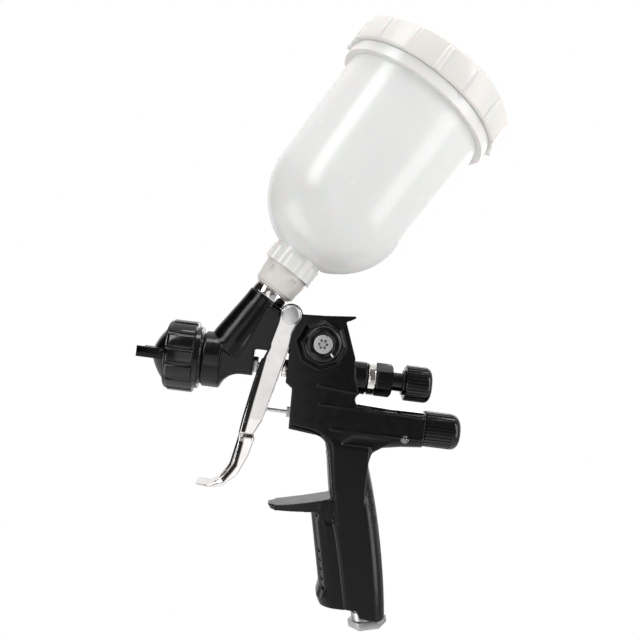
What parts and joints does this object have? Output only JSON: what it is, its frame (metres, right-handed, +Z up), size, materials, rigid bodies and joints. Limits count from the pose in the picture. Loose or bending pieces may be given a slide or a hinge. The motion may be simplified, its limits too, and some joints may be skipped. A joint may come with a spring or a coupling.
{
  "type": "spray gun",
  "caption": "Gravity-feed spray gun with a leaning screw-on paint cup and lid, air cap ring, hinged trigger, needle, air valve and three adjusting knobs.",
  "frame": {"origin": "centre of the air inlet's mouth at the foot of the handle", "axes": "+Z up, the spray leaves along -X, the fan knob is on the -Y side"},
  "size_m": [0.1908, 0.1022, 0.3415],
  "materials": {
    "black_casting": "black anodised die casting, satin",
    "black_anodised": "black anodised turned aluminium",
    "black_plastic": "black knurled knob",
    "polished_chrome": "mirror chrome plate",
    "satin_steel": "brushed stainless steel",
    "inlet_steel": "satin nickel plate",
    "brass": "turned brass",
    "seal_black": "moulded seal",
    "seal_white": "PTFE packing",
    "cup_plastic": "translucent milky polypropylene",
    "lid_plastic": "milky polypropylene",
    "nut_plastic": "light grey nylon",
    "strainer_plastic": "white mesh strainer"
  },
  "bodies": {
    "gun": {"gun_body": "black_casting", "air_inlet_connector": "inlet_steel", "fluid_nozzle": "satin_steel", "air_distribution_ring": "brass", "needle_packing": "seal_white", "packing_nut": "satin_steel", "needle_guide": "polished_chrome", "air_valve_bush": "seal_white", "air_valve_seat": "brass", "air_micrometer_sleeve": "brass", "micrometer_set_screw": "polished_chrome", "needle_spring": "satin_steel", "air_valve_spring": "satin_steel", "fluid_adjuster_housing": "polished_chrome", "lock_nut": "black_anodised", "trigger_pin": "satin_steel", "trigger_pin_screw": "satin_steel", "cup_inlet_fitting": "polished_chrome"},
    "trigger": {"trigger": "polished_chrome"},
    "needle": {"fluid_needle": "satin_steel", "needle_collar": "satin_steel", "needle_spring_seat": "satin_steel"},
    "air_valve": {"air_valve_stem": "satin_steel", "air_valve_piston": "brass"},
    "needle_stop": {"needle_stop": "brass"},
    "fluid_adjuster": {"fluid_adjusting_screw": "black_anodised", "fluid_knob": "black_plastic", "fluid_knob_collar": "black_anodised"},
    "air_micrometer": {"air_micrometer_spindle": "brass", "air_micrometer_knob": "black_plastic"},
    "fan_control": {"fan_knob": "black_plastic", "fan_spindle": "brass", "fan_knob_screw": "satin_steel", "fan_spindle_seal": "seal_black"},
    "cap_clip": {"cap_clip_ring": "satin_steel"},
    "cap_ring": {"air_cap_ring": "black_anodised"},
    "cap": {"air_cap": "black_anodised"},
    "cup_seat": {"cup_gasket": "seal_white"},
    "paint_cup": {"cup": "cup_plastic", "cup_nut": "nut_plastic", "paint_strainer": "strainer_plastic"},
    "lid_seat": {"lid_gasket": "seal_white"},
    "cup_lid": {"lid": "lid_plastic", "lid_vent_plug": "lid_plastic"}
  },
  "joints": [
    {"name": "trigger_pull", "type": "hinge", "parent": "gun", "child": "trigger", "pos_m": [-0.0646, 0, 0.1691], "axis": [0, -1, 0], "range_deg": [0, 10.5], "stiffness_Nm_per_rad": 2, "springref_deg": -14.32},
    {"name": "needle_slide", "type": "slide", "parent": "gun", "child": "needle", "axis": [1, 0, 0], "range_m": [0, 0.0055], "deforming": ["needle_spring"]},
    {"name": "air_valve_slide", "type": "slide", "parent": "gun", "child": "air_valve", "axis": [1, 0, 0], "range_m": [0, 0.0105], "deforming": ["air_valve_spring"]},
    {"name": "needle_stop_slide", "type": "slide", "parent": "gun", "child": "needle_stop", "axis": [1, 0, 0], "range_m": [-0.003, 0.002]},
    {"name": "fluid_knob_turn", "type": "hinge", "parent": "needle_stop", "child": "fluid_adjuster", "pos_m": [0.0101, 0, 0.1393], "axis": [-1, 0, 0], "range_deg": [-720, 1080]},
    {"name": "air_knob_turn", "type": "hinge", "parent": "gun", "child": "air_micrometer", "pos_m": [0.0251, 0, 0.1147], "axis": [1, 0, 0], "range_deg": [0, 270]},
    {"name": "fan_knob_turn", "type": "hinge", "parent": "gun", "child": "fan_control", "pos_m": [-0.0455, -0.018, 0.1552], "axis": [0, -1, 0], "range_deg": [0, 270]},
    {"name": "cap_ring_advance", "type": "slide", "parent": "gun", "child": "cap_clip", "axis": [-1, 0, 0], "range_m": [0, 0.0075]},
    {"name": "cap_ring_turn", "type": "hinge", "parent": "cap_clip", "child": "cap_ring", "pos_m": [-0.1229, 0, 0.1393], "axis": [-1, 0, 0], "range_deg": [0, 1800]},
    {"name": "air_cap_turn", "type": "hinge", "parent": "cap_clip", "child": "cap", "pos_m": [-0.1309, 0, 0.1393], "axis": [-1, 0, 0], "continuous": true},
    {"name": "cup_rise", "type": "slide", "parent": "gun", "child": "cup_seat", "axis": [0.509, 0, 0.8607], "range_m": [0, 0.0105]},
    {"name": "cup_turn", "type": "hinge", "parent": "cup_seat", "child": "paint_cup", "pos_m": [-0.07354, 0, 0.18798], "axis": [0.509, 0, 0.8607], "range_deg": [0, 2520]},
    {"name": "lid_rise", "type": "slide", "parent": "paint_cup", "child": "lid_seat", "axis": [0.509, 0, 0.8607], "range_m": [0, 0.015]},
    {"name": "lid_turn", "type": "hinge", "parent": "lid_seat", "child": "cup_lid", "pos_m": [-0.00329, 0, 0.30676], "axis": [0.509, 0, 0.8607], "range_deg": [0, 450]}
  ],
  "couplings": [
    {"joint": "needle_slide", "follows": "trigger_pull", "m_per_rad": 0.0273},
    {"joint": "air_valve_slide", "follows": "trigger_pull", "m_per_rad": 0.055},
    {"joint": "fluid_knob_turn", "follows": "needle_stop_slide", "rad_per_m": -6283.2},
    {"joint": "cap_ring_turn", "follows": "cap_ring_advance", "rad_per_m": 4188.8},
    {"joint": "cup_turn", "follows": "cup_rise", "rad_per_m": 4188.8},
    {"joint": "lid_turn", "follows": "lid_rise", "rad_per_m": 523.6}
  ]
}
